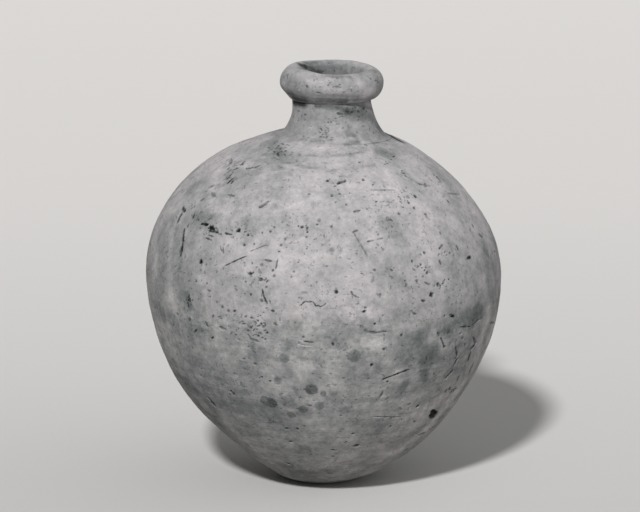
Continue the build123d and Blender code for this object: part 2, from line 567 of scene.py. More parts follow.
def divide_near(piece, strokes, *margins):
    """Divides the faces within a margin of the strokes, to take their edges, once for each margin."""
    for margin in margins:
        centres = rows_of(piece.data.polygons, "center")
        chosen = np.zeros(len(centres), bool)
        for stroke in strokes:
            near, away = distances(centres, stroke)
            chosen[near[away < stroke.half_width * (1 + stroke.edge) + margin]] = True
        take_up(piece)
        piece.data.polygons.foreach_set("select", chosen)
        bpy.ops.object.mode_set(mode="EDIT")
        bpy.ops.mesh.select_mode(type="FACE")
        bpy.ops.mesh.subdivide(number_cuts=1)
        bpy.ops.mesh.select_all(action="DESELECT")
        bpy.ops.object.mode_set(mode="OBJECT")


neck_dust_dark = 0.20
neck_dust_reach = 0.0205
neck_dust_fade = 0.006
rim_dust_loss = 0.6
rim_dust_fade = 0.002
# How dark, how far out and how softly the mouth is darkened, for dirt and painted shade
mouth_dirt_and_shade_dark = 0.25
mouth_darkening_reach = bore_radius + 0.0022
mouth_darkening_fade = 0.0018


def neck_dust_and_mouth_shade(points):
    """How dark the clay is from dirt round the neck, which fades out over the shoulder and up the rim, and
    from dirt and painted shade inside the mouth."""
    out = out_from(neck_axis_x, points)
    rim_share = ease((points[:, 2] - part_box("rim")[0].z) / rim_dust_fade)
    round_neck = ease((neck_dust_reach - out) / neck_dust_fade) * (1 - rim_dust_loss * rim_share)
    in_mouth = ease((mouth_darkening_reach - out) / mouth_darkening_fade)
    return (neck_dust_dark * round_neck + mouth_dirt_and_shade_dark * in_mouth) * (points[:, 2] > belly_height)


rag = 0.0004
rag_lumps = (Lumps(0.6, 0.0006, 0.0006, 4.4), Lumps(0.4, 0.002, 0.002, 8.1))
wear = 0.9
wear_range = (0.4, 1.2)
wear_lumps = Lumps(0.7, 0.0011, 0.0011, 5.9)
patch_lumps = (Lumps(0.5, 0.0045, 0.0045, 3.3), Lumps(0.35, 0.0015, 0.0015, 6.2))
patchiness = 0.6
crease_angle = math.radians(50)


def covering(share, edge):
    """How fully a stroke covers the clay at a share of its half width, with a soft edge."""
    return ease((1 + edge - share) / (2 * edge))


def press(piece, strokes, stains_and_shade):
    """Presses strokes into a piece, and notes on its clay how dark they leave it (grime, and painted shade),
    how pale (bloom, and painted light), and where stains and painted shade lie."""
    points = points_of(piece)
    ragged = unevenness(points, *rag_lumps)
    worn = np.clip(wear + unevenness(points, wear_lumps), *wear_range)
    patchy = unevenness(points, *patch_lumps)
    depth, grime_and_shade, bloom_and_light, stain_and_shade = np.zeros((4, len(points)))
    for stroke in strokes:
        near, away = distances(points, stroke)
        share = away / stroke.half_width + ragged[near] * min(1, rag / stroke.half_width)
        cover = covering(share, stroke.edge)
        if stroke.depth > 0:
            cover *= worn[near]
        depth[near] = np.maximum(depth[near], cover * stroke.depth)
        tint = grime_and_shade if stroke.dark > 0 else bloom_and_light
        tint[near] = np.maximum(tint[near], cover * abs(stroke.dark))
    # Dirt round the neck, and dirt with painted shade inside the mouth
    grime_and_shade += neck_dust_and_mouth_shade(points)
    for stroke in stains_and_shade:
        near, away = distances(points, stroke)
        share = away / stroke.half_width * (1 + patchy[near])
        stain_and_shade[near] = np.maximum(stain_and_shade[near], covering(share, stroke.edge) * stroke.dark)
    stain_and_shade *= 1 + patchy * patchiness
    move_points(piece, points - facings_of(piece) * depth[:, None])
    for name, values in (("grime_and_shade", grime_and_shade), ("bloom_and_light", bloom_and_light), ("stain_and_shade", stain_and_shade)):
        attribute = piece.data.attributes.new(name, "FLOAT", "POINT")
        attribute.data.foreach_set("value", values.astype(np.float32))
    take_up(piece)
    bpy.ops.object.shade_smooth_by_angle(angle=crease_angle)


# Each mark is a half width in pixels, how dark it is (how pale, if negative) and the pixels it runs through
body_pits = (
    (1.9, 1.5, (201, 261.6)), (2.0, 1.5, (238.6, 230.6)), (1.1, 0.8, (245, 232)), (1.4, 1.2, (248, 235.5)),
    (1.3, 0.9, (327.6, 180.4)), (1.4, 1.1, (425, 252.5)), (1.7, 1.0, (336.4, 291.4)),
    (1.2, 0.54, (380.2, 295)), (2.2, 0.9, (431.8, 295)), (1.6, 0.9, (416.4, 195.8)),
    (1.1, 0.8, (402.4, 191.7)), (1.2, 0.61, (375.4, 270.4)), (1.2, 0.7, (421, 264.6)),
    (1.1, 0.7, (425, 270.3)), (1.2, 0.7, (427.3, 272.5)), (1.3, 0.8, (417, 280.5)), (1.2, 0.6, (406, 286)),
    (2.0, 0.6, (438.6, 284.5)), (1.5, 0.9, (285.4, 239.2)), (1.3, 0.54, (281, 245)),
    (1.5, 0.45, (309, 194)), (1.6, 0.42, (319, 220)), (1.3, 0.61, (273, 270.5)), (1.3, 0.61, (274, 276)),
    (1.5, 0.46, (261.5, 265)), (1.6, 0.8, (250, 273.4)), (1.7, 0.61, (260.4, 279.6)),
    (1.1, 0.6, (245.5, 281.5)), (1.0, 0.53, (266, 287)), (1.4, 0.6, (302, 227)), (1.1, 0.7, (307, 228)),
    (1.0, 0.6, (307.5, 232)), (1.2, 0.5, (307, 237)), (1.2, 0.7, (244.3, 245)), (1.0, 0.5, (254, 244)),
    (1.4, 0.7, (365.8, 144.4)), (1.0, 0.5, (350.6, 153)), (1.2, 0.6, (359.6, 161.8)),
    (1.2, 0.7, (363.6, 179)), (1.2, 0.5, (332, 195.6)), (1.1, 0.5, (339.5, 193.4)),
    (1.2, 0.6, (346.4, 204.3)), (1.1, 0.39, (367.6, 208.6)), (1.2, 0.6, (407.8, 196.3)),
    (1.2, 0.6, (409.5, 202)), (1.2, 0.7, (415.3, 207.2)), (1.2, 0.47, (399.8, 212.9)),
    (1.3, 0.6, (427.3, 213.5)), (1.3, 0.6, (445.7, 195.1)), (1.6, 0.8, (475, 225)),
    (1.2, 0.6, (441.7, 232.4)), (1.1, 0.7, (412.4, 261.1)), (1.2, 0.47, (379.1, 234.1)),
    (1.2, 0.39, (390, 232.4)), (1.8, 0.28, (332, 249.6)), (1.6, 0.28, (341.2, 250.8)),
    (1.5, 0.4, (383.7, 249.6)), (2.0, 0.31, (388.9, 218)), (1.0, 0.6, (270.6, 231.8)),
    (1.0, 0.6, (274, 227.3)), (1.1, 0.6, (244.1, 262.8)), (1.2, 0.5, (206.3, 265.1)),
    (1.7, 0.9, (228.6, 168.9)), (1.3, 0.68, (261.4, 300.3)), (1.0, 0.53, (270, 301.5)),
    (1.1, 0.6, (251, 294.6)), (1.2, 0.5, (222.3, 307.2)), (1.2, 0.43, (228, 311.2)),
    (1.1, 0.37, (225.8, 315.8)), (1.2, 0.5, (242.4, 322.1)), (1.3, 0.68, (257.9, 321)),
    (1.4, 0.56, (251, 327.9)), (1.2, 0.46, (263.6, 326.7)), (1.3, 0.65, (260.2, 333)),
    (1.3, 0.65, (267.1, 333)), (1.2, 0.58, (258.5, 336)), (1.2, 0.37, (238.4, 339.4)),
    (1.6, 0.41, (177.6, 314.7)), (1.7, 0.41, (189.6, 319.8)), (1.6, 0.41, (181.6, 331.9)),
    (1.5, 1.0, (364.2, 311.5)), (1.2, 0.9, (365.1, 307.7)), (1.2, 0.7, (357.6, 304.3)),
    (1.0, 0.5, (383, 316)), (1.3, 0.9, (244.1, 358.9)), (1.2, 0.9, (255.4, 364)),
    (1.2, 0.7, (221.2, 359.5)), (1.1, 0.7, (261.9, 377.2)), (1.3, 0.8, (270, 381.2)),
    (1.6, 0.7, (286.5, 429.2)), (1.4, 0.8, (297.5, 429.5)), (1.4, 0.7, (290.5, 442.4)),
    (1.6, 0.5, (288, 464.7)), (1.5, 0.8, (333, 344.3)), (1.2, 0.9, (401.2, 335.2)),
    (1.4, 0.8, (414.4, 421.8)), (1.5, 0.7, (417.2, 406.4)), (1.2, 0.8, (374.7, 323.8)),
    (1.2, 0.9, (303.4, 337)), (1.4, 0.8, (372, 365)), (1.0, 0.6, (387.4, 381.6)),
    (1.1, 0.5, (390.7, 426.8)), (1.4, 0.7, (352.6, 434)), (1.2, 0.4, (333, 457)), (2.4, 0.4, (356.5, 446)),
    (1.0, 0.5, (300, 398)), (1.1, 0.7, (218, 230.8)), (1.0, 1.0, (209.4, 228.8)), (1.5, 1.0, (231, 391.5)),
    (1.7, 1.1, (233, 394)), (1.2, 0.8, (229.5, 394.5)), (1.2, 0.5, (384, 349)), (1.6, 0.9, (445.8, 390)),
    (1.5, 0.9, (449, 387.7)), (1.5, 0.8, (450.6, 391.3)),
)
body_lines = (
    (0.6, 0.8, (224.5, 266), (236, 260.5), (247, 256)), (0.5, 0.5, (250, 251.6), (266, 245)),
    (1.8, 0.9, (184.4, 208.8), (186.7, 212.3)), (1.9, 1.0, (183.3, 214.6), (181, 219), (178.8, 223.8)),
    (1.4, 0.95, (185.5, 229.5), (183.3, 243), (180.7, 256)), (2.0, 0.9, (182.8, 245), (180.8, 255.4)),
    (1.3, 0.8, (195.9, 214.6), (193.8, 219.2)), (1.2, 0.6, (201.7, 202.2), (205.1, 199.8)),
    (1.6, 0.5, (209.7, 188.4), (214.3, 186.4)), (1.7, 0.5, (212.6, 194), (216, 197.4)),
    (1.3, 0.9, (229.2, 164.7), (232.7, 161.8)), (1.2, 0.8, (232.7, 167), (238.4, 165.6)),
    (1.2, 0.9, (240.7, 165.8), (244.1, 161.8)), (1.4, 0.6, (246.4, 168.9), (253, 167.8), (260.2, 165.6)),
    (1.3, 0.9, (227.5, 173), (231.5, 170)), (1.2, 0.7, (232.4, 170.6), (239, 168.4)),
    (1.0, 0.8, (230.4, 176), (233.4, 172.4)), (1.3, 1.0, (228, 184.2), (232.7, 179)),
    (1.2, 0.8, (226.3, 181.3), (230.4, 176.7)), (1.0, 0.8, (231.5, 184.5), (233.5, 181.5)),
    (0.8, 0.5, (220.3, 245.8), (221.6, 251)), (0.8, 0.5, (223, 247), (223.6, 253.5)),
    (1.0, 0.54, (264.8, 260), (271.7, 261.1)), (0.9, 0.76, (262, 289.5), (264, 297), (267.4, 303.8)),
    (0.8, 0.54, (277.8, 259), (275.8, 268.8)), (1.0, 0.61, (271.7, 310.7), (274.2, 311.2)),
    (1.0, 0.61, (274, 323.3), (276.5, 325)), (0.8, 0.27, (353.6, 231.7), (360, 243), (367.8, 256)),
    (1.1, 0.45, (353.3, 231.6), (357.9, 229.8)),
    (0.55, 0.74, (301, 305), (303.6, 302.6), (305.4, 301.4), (309, 302.1), (312.6, 301.7), (314.6, 303.8)),
    (0.55, 0.7, (314.6, 303.8), (315.8, 306.2), (318.6, 305.5), (320.4, 307), (323.4, 305.6), (326, 303.2)),
    (1.0, 0.8, (434, 172), (436.6, 174)), (0.9, 1.0, (437.6, 175), (442.8, 179.4)),
    (0.5, 0.5, (371, 189.3), (396, 189.3)), (1.0, 0.52, (353.9, 211.3), (360.2, 210)),
    (0.9, 0.7, (368, 241.4), (374, 240.2)), (0.9, 0.47, (377.5, 238.8), (383, 237.9)),
    (1.0, 0.8, (440, 248.5), (443.4, 244.6)), (1.0, 0.9, (457.6, 245.6), (458.8, 249.6)),
    (1.6, 1.2, (468.1, 258.4), (471.5, 257)), (1.2, 0.6, (440, 260.5), (441.7, 264)),
    (1.4, 0.6, (419, 182.5), (425, 184), (431.4, 184.6)),
    (1.0, 0.28, (449.5, 192), (455, 192.4), (462, 193)), (1.6, 0.6, (480.7, 234), (484, 236.4)),
    (1.6, 0.8, (338, 183), (345, 180.4)), (1.5, 0.6, (260.4, 207.4), (264, 205.6), (268.2, 202.2)),
    (0.9, 0.7, (229, 195.5), (235, 197)), (0.9, 0.9, (225.5, 233.4), (232.1, 235)),
    (0.8, 0.54, (351.2, 291.5), (353, 295.2), (358.7, 297.7)), (1.6, 1.6, (203, 224.6), (208.4, 225.4)),
    (2.3, 1.7, (211, 227.6), (214, 229.2)), (1.3, 1.0, (210, 231), (218.5, 232.6)),
    (0.8, 0.7, (206, 238), (212, 240.5)), (0.7, 0.6, (209, 235.5), (214, 237)),
    (0.9, 0.5, (199, 214.5), (203, 213)), (0.9, 0.6, (205.5, 222.5), (212, 219)),
    (1.8, 1.3, (207.6, 398), (214.5, 406.5)), (1.4, 0.56, (205.7, 322.9), (207.4, 325.8)),
    (1.0, 0.5, (219.5, 327), (225.2, 329.2)), (1.0, 0.5, (248.2, 334.8), (251, 339.4)),
    (1.1, 0.37, (251, 339.4), (259, 341.7)), (0.8, 0.7, (303.8, 341.6), (313, 342.3)),
    (1.1, 0.63, (421.6, 300.5), (424.9, 301)), (0.9, 0.49, (411, 310.4), (413, 313), (416, 314.3)),
    (0.9, 0.9, (382.5, 379.4), (396, 374.2), (408.3, 369.4)),
    (1.2, 0.32, (361, 327), (367, 332), (376, 333), (386, 331.7)), (1.3, 0.5, (383, 392.6), (380.2, 397)),
    (0.8, 0.25, (374, 416.9), (390, 417.4), (401, 417)), (1.0, 0.7, (327, 473.6), (333, 473.2)),
    (1.5, 0.62, (437.6, 332.5), (438.7, 335)), (0.9, 0.62, (440.3, 337.4), (442, 342), (443.6, 347.4)),
    (1.3, 0.7, (454.7, 347.4), (455.8, 355)), (1.2, 0.62, (455.8, 358.4), (452.5, 365)),
    (1.5, 0.47, (451.4, 369.4), (444.7, 377.2)), (1.4, 0.7, (471.8, 336.9), (474.5, 343)),
    (1.3, 0.62, (473.4, 344.4), (468.5, 349)), (1.6, 0.78, (469, 351.8), (466.8, 359.5)),
    (2.0, 0.55, (471.2, 363.9), (468.5, 371.6)), (1.6, 0.55, (458, 376), (456.3, 380.5)),
    (1.3, 0.9, (449.5, 314.8), (453.5, 316.4)), (0.9, 0.28, (460, 326.6), (469, 326.4)),
    (0.9, 0.32, (471.2, 324.4), (478.9, 318.7)), (1.2, 0.7, (488.9, 322.5), (492.2, 322)),
    (1.2, 0.4, (453.4, 388.6), (456, 389)), (1.6, 0.8, (418.5, 435), (423.8, 432.9)),
    (0.6, 0.35, (461.5, 393), (449.2, 415.5), (434.8, 431)),
    (0.6, -0.9, (298, 344), (304, 345.6), (310.5, 346)), (0.6, -0.8, (300, 340.2), (304, 341)),
    (2.7, 1.6, (431.4, 411), (436.4, 414.4)), (2.6, 1.6, (430.2, 414.6), (434.2, 417.6)),
)
body_stains = (
    (17, 0.40, (163, 240), (161, 286)), (16, 0.30, (178, 256), (184, 304)),
    (18, 0.24, (198, 190), (186, 250)), (14, 0.20, (205, 205), (245, 182)),
    (9, 0.26, (206, 186), (206, 220)), (12, 0.14, (214, 214), (238, 228)),
    (13, 0.18, (246, 148), (272, 166)), (13, 0.16, (200, 205), (212, 236)),
    (15, 0.22, (470, 278), (478, 320)), (10, 0.48, (464, 317), (476, 311)),
    (6, 0.36, (456, 323), (470, 324)), (9, 0.26, (486, 250), (490, 305)),
    (14, 0.16, (455, 275), (450, 325)), (9, 0.50, (432, 353), (427, 359)),
    (5, 0.32, (424.7, 370), (423.5, 380)), (4, 0.30, (406, 382), (403, 388)),
    (6, 0.20, (421, 333), (420, 340)), (5, 0.52, (187, 294), (189.4, 307)),
    (10, 0.42, (266, 145), (286, 158)), (3, 0.36, (262, 152), (274, 158), (288, 163)),
    (7, 0.26, (382, 152), (392, 158)), (9, 0.10, (380, 215), (396, 224)),
    (3.5, 0.34, (213, 217), (213, 218)), (15, 0.18, (166, 310), (196, 330)),
    (17, 0.12, (205, 312), (240, 298)), (9, 0.10, (355, 232), (361, 268)),
    (12, 0.18, (396, 162), (418, 190)), (10, 0.16, (440, 172), (456, 196)),
    (9, 0.16, (462, 298), (480, 270), (492, 262)),
)
# Smudges are greyer than stains. Among them are a painted shadow of the neck on the right of the shoulder,
# painted shade along the left and right edges, and painted light along the right edge, the lower right and
# the bottom
body_smudges_and_painted_shading = (
    (4.2, 0.90, (386, 133.2), (392, 136.6), (400, 141)), (3.0, 0.34, (347, 144), (357, 142.4)),
    (5, -0.35, (374, 139), (388, 142)), (15, 0.22, (198, 369), (250, 393)),
    (7, 0.25, (176, 374), (198, 392)), (9, 0.24, (205, 396), (226, 405)),
    (15, 0.30, (226, 404), (268, 412)), (13, 0.14, (236, 392), (252, 356)),
    (14, 0.22, (346, 328), (358, 372)), (12, 0.10, (378, 384), (340, 398)),
    (16, 0.10, (395, 262), (405, 310)), (12, 0.12, (408, 352), (420, 366)),
    (14, 0.06, (340, 425), (380, 430)), (10, 0.10, (270, 425), (330, 440)),
    (1.5, 0.16, (282, 161.5), (298, 166), (313.6, 168), (332.7, 169)),
    (1.5, 0.16, (332.7, 169), (355.7, 167.7), (374.8, 164.4)),
    (1.4, 0.18, (298, 154), (317, 156), (327, 156.7)), (1.4, 0.18, (327, 156.7), (347, 155), (368, 150)),
    (4, 0.20, (236, 178), (226, 184)), (4, 0.20, (225, 168), (238, 163)), (7, 0.20, (228, 173), (256, 173)),
    (7, 0.18, (251, 222), (249, 240)), (9, 0.16, (386, 230), (402, 236)), (8, 0.15, (392, 302), (394, 317)),
    (8, 0.18, (430, 326), (446, 330)), (9, 0.10, (446, 266), (462, 272)), (4, 0.24, (253, 344), (254, 352)),
    (4, 0.24, (291.2, 344), (284.3, 348.5)), (4, 0.20, (336, 347), (342, 349)),
    (4, 0.20, (372, 365), (379, 370)), (7, 0.14, (382, 153), (392, 152)), (7, 0.10, (363, 433), (378, 432)),
    (5, 0.16, (260, 421), (246, 425)), (3.2, 0.20, (298, 327)), (4, 0.16, (295.8, 391)),
    (3, 0.20, (339.4, 357.3)), (12, 0.20, (205, 385), (262, 392)), (8, 0.16, (276, 374), (314, 377)),
    (8, 0.20, (200, 216), (210, 224)), (14, 0.10, (212, 258), (228, 280)),
    (9, -0.50, (318, 147), (358, 144)), (1.2, -0.20, (190, 373), (216, 384)),
    (1.0, -0.18, (187, 364.6), (214.3, 380)), (0.9, -0.16, (252, 408.6), (306, 408.6)),
    (9, -1.00, (462, 385), (440, 412)), (12, -0.45, (432, 378), (440, 402)),
    (15, -0.85, (426, 414), (384, 446)),
    (8, -1.00, (448, 403), (432, 424), (415, 438), (398, 450), (378, 459)),
    (8, -0.60, (370, 456), (310, 460)), (6, -0.40, (300, 468), (352, 470)),
    (6, -0.40, (280, 298), (280, 308)), (5, -0.40, (281, 342), (281, 352)),
    (7, -0.40, (295, 206), (296, 222)), (9, -1.00, (488, 312), (474, 362)),
    (6, -0.40, (396, 327), (413, 328)), (5, -0.35, (351, 376), (362, 376)),
    (5, -0.40, (458, 374), (462, 380)), (14, 0.17, (151, 246), (150, 270), (152, 294)),
    (12, 0.13, (495, 224), (495, 256), (494, 288)), (14, -1.00, (492, 320), (484, 350)),
    (8, -0.45, (181, 184), (177, 195)), (7, 0.10, (176, 222), (180, 240)),
    (7, 0.20, (208, 404), (216, 416)), (9, 0.34, (204, 389), (222, 395)), (4, 0.24, (210, 216), (216, 220)),
)
# Spots have a clearer edge than smudges
body_spots = (
    (6.6, 0.50, (266, 401), (271, 403)), (6.4, 0.48, (311.4, 389.6)), (4.6, 0.34, (277.6, 380.6)),
    (5.2, 0.24, (284.3, 358.2)), (4.6, 0.28, (291, 415)), (4.6, 0.30, (303, 409.6)),
    (5.0, 0.28, (319.6, 406)), (7.4, 0.44, (354, 356)), (3.4, 0.30, (323.5, 394)),
    (5.0, 0.12, (325, 325), (330, 322)), (5.0, 0.16, (262, 350), (258, 358)), (6.0, 0.18, (345, 410)),
    (8.5, -0.60, (347.5, 315)), (6.0, -0.45, (366, 341), (378, 341)), (7.5, -0.35, (373, 312)),
)
# Each cluster of specks is a middle pixel, its half spread across and upright, a count and a slant
body_clusters = (
    (231, 164, 8, 4, 26, 0.7), (243, 163, 5, 3, 12, 0.5), (230, 180, 5, 5, 24, 0.8),
    (254, 168, 10, 3, 16, 0.35), (192, 206, 4, 6, 8, 1.2), (199, 218, 5, 5, 9, 1.1),
    (213, 232, 8, 6, 16, -0.5), (246, 234, 6, 4, 5, 0.2), (188, 300, 4, 8, 14, 1.2),
    (260, 277, 14, 10, 12, 0.6), (305, 229, 6, 6, 6, 0.5), (405, 172, 6, 4, 10, -0.4),
    (424, 183, 9, 4, 8, 0.0), (405, 197, 14, 8, 10, 0.0), (448, 192, 10, 6, 8, -0.8),
    (421, 270, 10, 12, 10, -0.6), (392, 225, 12, 8, 7, 0.2), (445, 255, 10, 8, 7, 0.9),
    (276, 150, 10, 8, 30, -0.3), (442, 285, 8, 6, 7, 0.4), (385, 160, 10, 7, 12, 0.0),
    (255, 324, 24, 18, 40, 0.2), (262, 332, 8, 6, 10, 0.2), (447.6, 389, 7, 4, 9, -0.2),
    (300, 250, 40, 30, 18, 0.2), (370, 200, 40, 25, 18, 0.1), (395, 265, 40, 25, 16, 0.1),
    (210, 330, 20, 20, 10, 0.6), (455, 345, 12, 22, 12, 1.1), (340, 420, 70, 30, 20, 0.0),
    (320, 180, 40, 14, 12, 0.2), (185, 240, 10, 30, 10, 1.3), (225, 290, 30, 20, 10, 0.4),
)

full_depth = 1.0
speck_depth = 0.7
pit_edge = 0.5
line_edge = 0.7
spot_edge = 0.15
soft_edge = 0.9
speck_spread = 0.5
speck_turn_spread = 0.35
longest_speck = 3.2
speck_half_widths = (0.5, 0.95)
speck_darks = (0.3, 0.7)
body_strokes = marks_seen(body_pits, pit_edge, full_depth) + marks_seen(body_lines, line_edge, full_depth)
for x, y, across, upright, count, slant in body_clusters:
    for _ in range(count):
        start = (x + across * chance.normal(0, speck_spread), y + upright * chance.normal(0, speck_spread))
        turn = slant + chance.normal(0, speck_turn_spread)
        length = longest_speck * chance.uniform(0.2, 1) ** 2
        end = (start[0] + length * math.cos(turn), start[1] - length * math.sin(turn))
        half_width = chance.uniform(*speck_half_widths)
        dark = chance.uniform(*speck_darks)
        body_strokes += strokes_seen((start, end), half_width, speck_depth, dark, line_edge)

unseen_marks = 320
unseen_heights = (0.004, 0.096)
unseen_half_widths = (0.00015, 0.00042)
longest_unseen = 0.006
unseen_slant_spread = 0.5
unseen_darks = (0.4, 1.0)
unseen_edge = 0.4
seen_facing = 0.3
to_eye = np.array((eye - body_middle).normalized())
for _ in range(unseen_marks):
    turn = chance.uniform(0, 2 * math.pi)
    height = chance.uniform(*unseen_heights)
    half_width = chance.uniform(*unseen_half_widths)
    length = longest_unseen * chance.uniform(0.1, 1.0) ** 3
    slant = chance.normal(0, unseen_slant_spread)
    dark = chance.uniform(*unseen_darks)
    rise, fullness = (shoulder_rise, upper_fullness) if height > belly_height else (bowl_rise, lower_fullness)
    out = body_radius * bulge_share(abs(height - belly_height) / rise, fullness)
    start = np.array((out * math.cos(turn), out * math.sin(turn), height))
    facing = body_face(start[None])[1][0]
    level = np.array((-math.sin(turn), math.cos(turn), 0))
    steep = np.cross(facing, level)
    end = start + length * (level * math.cos(slant) + steep * math.sin(slant))
    if facing @ to_eye < seen_facing:
        depth = full_depth * half_width
        body_strokes.append(Stroke(start, end, facing, half_width, depth, dark, unseen_edge))

thin_stroke = 0.0003
wide_margin, close_margin, edge_margin = 0.0005, 0.0002, 0.0001
spots = marks_seen(body_spots, spot_edge)
# Smudges, some of them painted shadow, shade and light
smudges_and_painted_shading = marks_seen(body_smudges_and_painted_shading, soft_edge)
soft_stains_and_shade = marks_seen(body_stains, soft_edge)
thin_strokes = [stroke for stroke in body_strokes if stroke.half_width < thin_stroke]
for piece in (bowl, shoulder):
    divide_near(piece, body_strokes + spots, wide_margin, close_margin)
    divide_near(piece, thin_strokes, edge_margin)
    press(piece, body_strokes + spots + smudges_and_painted_shading, soft_stains_and_shade)

# Neck
# A short tube, thrown apart and luted over the bore, with its foot smeared out on to the shoulder.
# The smear is long and soft on the left and ends in a sharp crease on the right.
neck_wall = 0.0033
neck_radius = bore_radius + neck_wall
tongue_radius = bore_radius + neck_wall / 2
tongue_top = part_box("neck")[1].z
rim_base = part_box("rim")[0].z
neck_top = rim_base - slip_thickness
skirt_flare = 0.0052
skirt_drop = 0.0113
neck_steps = 260
flare_points = 100
neck_skin_step = 0.00035
neck_lining_step = 0.001

skirt_bottom = neck_top - skirt_drop
skirt_radius = neck_radius + skirt_flare
flare_radius = (skirt_drop**2 + skirt_flare**2) / (2 * skirt_flare)
flare_turn = np.linspace(0, math.asin(skirt_drop / flare_radius), flare_points)
neck_flare = np.column_stack(
    (neck_radius + flare_radius * (1 - np.cos(flare_turn)), neck_top - flare_radius * np.sin(flare_turn))
)
neck_head = np.array(
    [
        (bore_radius, tongue_top),
        (tongue_radius, tongue_top),
        (tongue_radius, neck_top),
        (neck_radius - seam_lip, neck_top),
        (neck_radius, rim_base),
        (neck_radius, neck_top),
    ]
)
neck_underside = np.array([neck_flare[-1], (bore_radius, skirt_bottom)])
neck_bore = np.array([(bore_radius, skirt_bottom), (bore_radius, tongue_top)])
neck = throw(
    "neck_tube",
    neck_steps,
    neck_head,
    evenly(neck_flare, neck_skin_step),
    evenly(neck_underside, neck_lining_step),
    evenly(neck_bore, neck_lining_step),
    axis_x=neck_axis_x,
)

smear_soft = 0.0009
smear_sharp = 0.0005
smear_front = 0.0019
smear_lift = 0.00003
smear_fade = 0.0015
smear_start = neck_radius + 0.0008
right_base, right_gain = 0.35, 0.8
front_base, front_gain = -0.4, 1.4
bed_radius = 0.0135
bed_fade = 0.002
skirt_edge_width = 0.00001
neck_shift = 0.0004
neck_shift_fade = 0.005
neck_skin_depth = 0.0002
neck_lumps = (Lumps(0.00012, 0.007, 0.005, 2.2), Lumps(0.00004, 0.02, 0.001, 5.5))
neck_lumps_height = 0.1015
neck_lumps_fade = 0.002
sky_height = 0.2

neck_points = points_of(neck)
from_axis = neck_points - (neck_axis_x, 0, 0)
out = out_from(neck_axis_x, neck_points)
underside = neck_points[:, 2] < skirt_bottom + merging_distance
skirt_edge = underside & (out > skirt_radius - skirt_edge_width)
bpy.context.view_layer.update()


def shoulder_height(place):
    """The height of the worked shoulder straight below a place."""
    _, below_place, _, _ = shoulder.ray_cast(Vector((place[0], place[1], sky_height)), Vector((0, 0, -1)))
    return below_place.z


rightness = ease(right_base + from_axis[:, 0] / out * right_gain)
frontness = ease(front_base - from_axis[:, 1] / out * front_gain)
smear = smear_soft + (smear_sharp - smear_soft) * rightness
smear += (smear_front - smear) * frontness
for index in np.flatnonzero((out > smear_start) & (neck_points[:, 2] < neck_top)):
    ground = shoulder_height(neck_points[index])
    if underside[index] and not skirt_edge[index]:
        neck_points[index, 2] = ground + slip_thickness * ease((bed_radius - out[index]) / bed_fade)
        continue
    height = neck_points[index, 2] - ground - smear_lift
    blend = np.clip(0.5 + 0.5 * height / smear[index], 0, 1)
    lift = smear_lift + height * blend + smear[index] * blend * (1 - blend)
    neck_points[index, 2] = ground + lift * ease((skirt_radius - out[index]) / smear_fade)
low_inside = underside & (out <= smear_start)
crown_share = out_from(0, neck_points[low_inside]) / body_radius
crown = belly_height + shoulder_rise * bulge_share(crown_share, upper_fullness)
neck_points[low_inside, 2] = crown + slip_thickness
on_skin = out > neck_radius - neck_skin_depth
neck_points[:, 0] += neck_shift * ease((rim_base - neck_points[:, 2]) / neck_shift_fade) * on_skin
move_points(neck, neck_points)
neck_points = points_of(neck)
on_outside = on_skin & ~underside & (neck_points[:, 2] < rim_base - neck_skin_depth)
above_smear = ease((neck_points[:, 2] - neck_lumps_height) / neck_lumps_fade)
neck_rough = unevenness(neck_points, *neck_lumps) * on_outside * above_smear
neck_points += facings_of(neck) * neck_rough[:, None]
move_points(neck, neck_points)

# Marks are given as on the body, and clusters of specks too, without their slant
neck_lines = (
    (1.3, 0.5, (337.5, 113.2), (342.5, 114.2)), (1.6, 0.22, (347, 139.5), (357, 137)),
    (1.6, 0.25, (346, 111), (351, 115)),
)
# Stains, and painted shade in a band on the neck under the rim
neck_stains_and_painted_shade = (
    (6.0, 0.46, (346, 110), (361, 112)), (4.0, 0.20, (369, 118), (377, 128)),
    (4.5, 0.45, (294, 102), (304, 103)), (2.2, 0.44, (316, 106), (330, 106.5)),
    (3.2, 0.42, (330, 106.9), (346, 107)), (6.0, 0.14, (304, 118), (326, 124)),
)
# Smudges, with a painted shadow of the neck on the shoulder at its right, painted shade under the rim on the
# left and painted light under it on the right
neck_smudges_and_painted_shading = (
    (3.4, 0.75, (384, 131.6), (390, 135.4)), (5.0, -0.35, (328, 127), (338, 128)),
    (5.0, -0.45, (356, 126), (364, 129)), (2.4, 0.50, (293.5, 102.6), (305, 104.2)),
    (2.4, -0.15, (309.5, 105), (313, 106)), (3.0, -1.00, (346, 105.4), (370, 104)),
    (1.3, 0.14, (337, 108.2), (348, 108.8)), (1.1, 0.14, (324, 104.4), (333, 104.6)),
)
neck_clusters = (
    (322, 131, 8, 5, 16), (330, 122, 8, 4, 8), (355, 110, 12, 5, 16), (300, 118, 6, 8, 6),
    (325, 139, 8, 3, 8),
)
shallow_depth = 0.6
shallow_speck_depth = 0.5
shallow_margin = 0.0003


def specks_seen(clusters, spread, run, tilt, half_widths, dark):
    """Short specks scattered about the middles of clusters, nearly level."""
    strokes = []
    for x, y, across, upright, count in clusters:
        for _ in range(count):
            start = (x + across * chance.normal(0, spread), y + upright * chance.normal(0, spread))
            end = (start[0] + chance.uniform(*run), start[1] + chance.uniform(-tilt, tilt))
            half_width = chance.uniform(*half_widths)
            strokes += strokes_seen((start, end), half_width, shallow_speck_depth, dark, line_edge)
    return strokes


def below_rim(strokes):
    """The strokes that keep below the rim, without those that a line of sight carried on to it."""
    return [stroke for stroke in strokes if max(stroke.start[2], stroke.end[2]) < rim_base]


